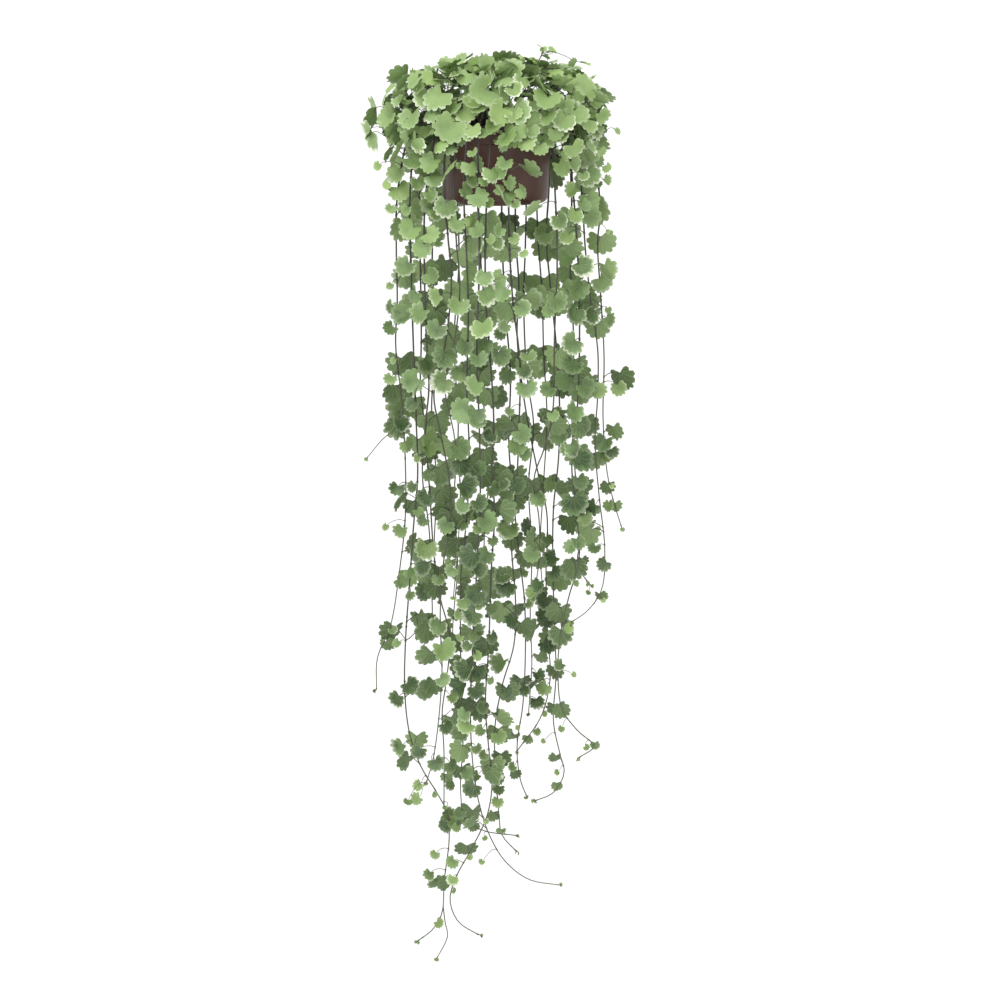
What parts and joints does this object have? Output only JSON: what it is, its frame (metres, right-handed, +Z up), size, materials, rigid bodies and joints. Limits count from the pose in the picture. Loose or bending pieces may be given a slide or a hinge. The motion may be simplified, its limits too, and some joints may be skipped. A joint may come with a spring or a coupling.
{
  "type": "potted variegated ground ivy",
  "caption": "Variegated ground ivy in a round plastic hanging pot: a mound of scalloped leaves covers the rim and long leafy stems trail far below the pot.",
  "frame": {"origin": "on the pot's axis, in the plane of the shoulder under the rim band, where a hanging ring carries the pot", "axes": "+Z up along the pot's axis, +X to the right and -Y to the front as in the picture"},
  "size_m": [0.3094, 0.2211, 1.1042],
  "materials": {
    "pot_plastic": "dark maroon-brown moulded polypropylene, satin, faint dust",
    "potting_soil": "moist peat and bark crumb, matt",
    "trailing_foliage": "sage to olive green leaves with pale cream margins on thin purplish-brown stems",
    "crown_foliage": "pale yellow-green leaves with whitish margins on green-brown petioles"
  },
  "bodies": {
    "root": {"pot": "pot_plastic", "soil": "potting_soil", "stem_left_outer": "trailing_foliage", "stem_left_long": "trailing_foliage", "stem_left_rear": "trailing_foliage", "stem_left_front": "trailing_foliage", "stem_front_left": "trailing_foliage", "stem_front_inner_left": "trailing_foliage", "stem_front_third": "trailing_foliage", "stem_front_fourth": "trailing_foliage", "stem_front_heavy": "trailing_foliage", "stem_front_right": "trailing_foliage", "stem_right_short": "trailing_foliage", "stem_right_front": "trailing_foliage", "stem_right_outer": "trailing_foliage", "stem_right_edge": "trailing_foliage", "stem_right_rear": "trailing_foliage", "stem_rear_right": "trailing_foliage", "stem_rear_second": "trailing_foliage", "stem_rear_third": "trailing_foliage", "stem_rear_fourth": "trailing_foliage", "stem_rear_middle": "trailing_foliage", "stem_rear_left": "trailing_foliage", "stem_rear_outer_left": "trailing_foliage", "stem_rear_far_left": "trailing_foliage", "crown_shoot_1": "crown_foliage", "crown_shoot_2": "crown_foliage", "crown_shoot_3": "crown_foliage", "crown_shoot_4": "crown_foliage", "crown_shoot_5": "crown_foliage", "crown_shoot_6": "crown_foliage", "crown_shoot_7": "crown_foliage", "crown_shoot_8": "crown_foliage", "crown_shoot_9": "crown_foliage", "crown_shoot_10": "crown_foliage", "crown_shoot_11": "crown_foliage", "crown_shoot_12": "crown_foliage"}
  },
  "joints": []
}
